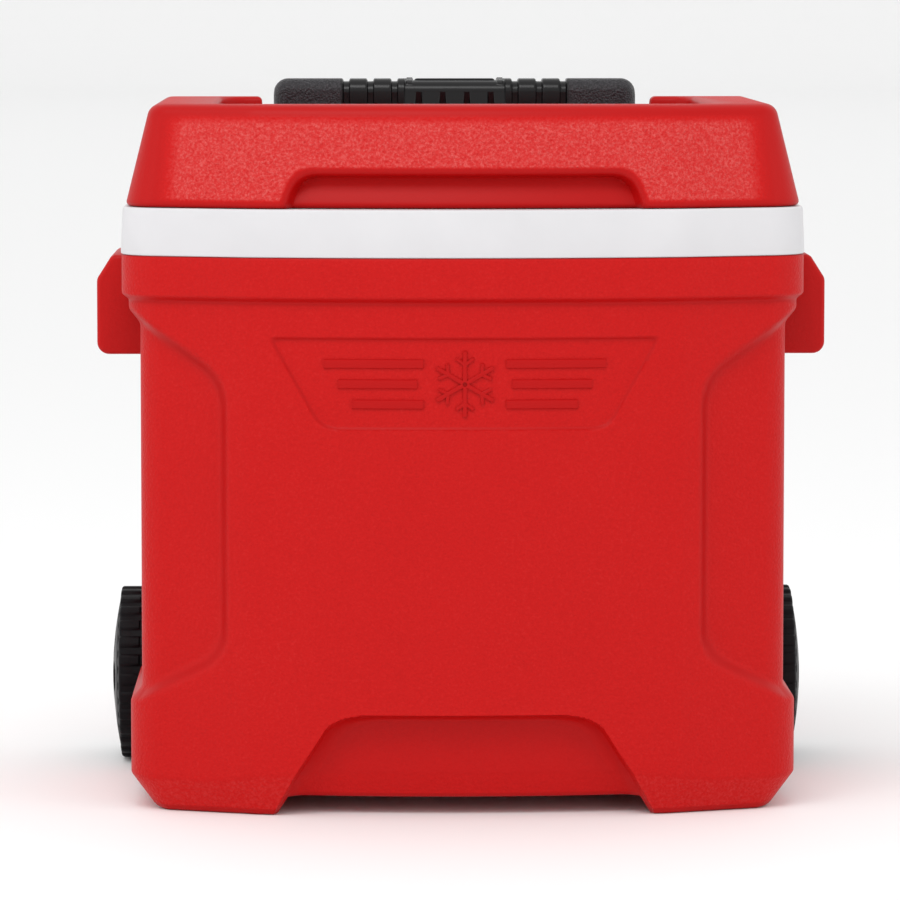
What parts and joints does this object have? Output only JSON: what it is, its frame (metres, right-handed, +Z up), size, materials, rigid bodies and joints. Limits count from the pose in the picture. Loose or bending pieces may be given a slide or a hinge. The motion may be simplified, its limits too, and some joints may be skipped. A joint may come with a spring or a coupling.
{
  "type": "cooler on wheels",
  "caption": "Small hard-sided cooler with a bowed front, hinged lid with a top tray, moulded carry handles, rear wheels and a telescoping tow handle.",
  "frame": {"origin": "on the floor, under the middle of the whole cooler", "axes": "+X to the cooler's right side seen from the front, the front faces -Y, +Z up"},
  "size_m": [0.428, 0.3159, 0.416],
  "materials": {
    "red_plastic": "fine pebble grain on flat faces, satin on edges and recesses",
    "red_hinge": "satin",
    "white_plastic": "smooth satin",
    "foam": "matt cellular",
    "black_plastic": "satin",
    "grip_plastic": "fine pebble grain with satin finger grooves",
    "tyre": "matt moulded",
    "steel": "plain",
    "tube_metal": "satin anodised"
  },
  "bodies": {
    "cooler_body": {"axle": "steel", "axle_bush_left": "black_plastic", "axle_bush_right": "black_plastic", "axle_cap_left": "black_plastic", "axle_cap_right": "black_plastic", "axle_sleeve": "black_plastic", "axle_washer_left": "steel", "axle_washer_right": "steel", "body_foam": "foam", "hinge_base_left": "red_hinge", "hinge_base_right": "red_hinge", "hinge_base_screws": "steel", "hinge_pin_left": "steel", "hinge_pin_right": "steel", "inner_liner": "white_plastic", "lower_bracket": "black_plastic", "lower_bracket_screws": "steel", "outer_collar_left": "black_plastic", "outer_collar_right": "black_plastic", "outer_shell": "red_plastic", "outer_tube_left": "tube_metal", "outer_tube_right": "tube_metal", "tube_end_plug_left": "black_plastic", "tube_end_plug_right": "black_plastic", "upper_bracket": "black_plastic", "upper_bracket_screws": "steel"},
    "lid": {"lid_shell": "red_plastic", "lid_liner": "white_plastic", "lid_foam": "foam", "hinge_leaf_left": "red_hinge", "hinge_leaf_right": "red_hinge", "hinge_leaf_screws": "steel"},
    "wheel_left": {"hub_left": "black_plastic", "tyre_left": "tyre"},
    "wheel_right": {"hub_right": "black_plastic", "tyre_right": "tyre"},
    "handle_middle": {"mid_tube_left": "tube_metal", "mid_tube_right": "tube_metal", "mid_collar_left": "black_plastic", "mid_collar_right": "black_plastic", "mid_guide_left": "black_plastic", "mid_guide_right": "black_plastic"},
    "handle_upper": {"inner_tube_left": "tube_metal", "inner_tube_right": "tube_metal", "inner_guide_left": "black_plastic", "inner_guide_right": "black_plastic", "button_spring_left": "steel", "button_spring_right": "steel", "grip_front": "grip_plastic", "grip_rear": "grip_plastic", "grip_screws": "steel"},
    "button": {"grip_button": "grip_plastic", "push_rod_left": "steel", "push_rod_right": "steel"},
    "lock_pin_left": {"inner_lock_pin_left": "steel"},
    "lock_pin_right": {"inner_lock_pin_right": "steel"},
    "stage_pin_left": {"mid_lock_pin_left": "steel"},
    "stage_pin_right": {"mid_lock_pin_right": "steel"}
  },
  "joints": [
    {"name": "lid_hinge", "type": "hinge", "parent": "cooler_body", "child": "lid", "pos_m": [0, 0.1225, 0.3474], "axis": [-1, 0, 0], "range_deg": [0, 75]},
    {"name": "wheel_left_spin", "type": "hinge", "parent": "cooler_body", "child": "wheel_left", "pos_m": [-0.189, 0.0945, 0.0526], "axis": [1, 0, 0], "continuous": true},
    {"name": "wheel_right_spin", "type": "hinge", "parent": "cooler_body", "child": "wheel_right", "pos_m": [0.189, 0.0945, 0.0526], "axis": [1, 0, 0], "continuous": true},
    {"name": "handle_lower_slide", "type": "slide", "parent": "cooler_body", "child": "handle_middle", "axis": [0, 0, 1], "range_m": [0, 0.262]},
    {"name": "handle_upper_slide", "type": "slide", "parent": "handle_middle", "child": "handle_upper", "axis": [0, 0, 1], "range_m": [0, 0.262]},
    {"name": "button_press", "type": "slide", "parent": "handle_upper", "child": "button", "axis": [0, 0, -1], "range_m": [0, 0.004], "stiffness_N_per_m": 500, "springref_m": -0.004, "deforming": ["button_spring_left", "button_spring_right"]},
    {"name": "lock_pin_left_slide", "type": "slide", "parent": "handle_upper", "child": "lock_pin_left", "axis": [1, 0, 0], "range_m": [0, 0.0012]},
    {"name": "lock_pin_right_slide", "type": "slide", "parent": "handle_upper", "child": "lock_pin_right", "axis": [-1, 0, 0], "range_m": [0, 0.0012]},
    {"name": "stage_pin_left_slide", "type": "slide", "parent": "handle_middle", "child": "stage_pin_left", "axis": [1, 0, 0], "range_m": [0, 0.0012], "stiffness_N_per_m": 300, "springref_m": -0.002},
    {"name": "stage_pin_right_slide", "type": "slide", "parent": "handle_middle", "child": "stage_pin_right", "axis": [-1, 0, 0], "range_m": [0, 0.0012], "stiffness_N_per_m": 300, "springref_m": -0.002}
  ],
  "couplings": [
    {"joint": "lock_pin_left_slide", "follows": "button_press", "ratio": 0.3},
    {"joint": "lock_pin_right_slide", "follows": "button_press", "ratio": 0.3},
    {"joint": "stage_pin_left_slide", "follows": "stage_pin_right_slide", "ratio": 1}
  ]
}
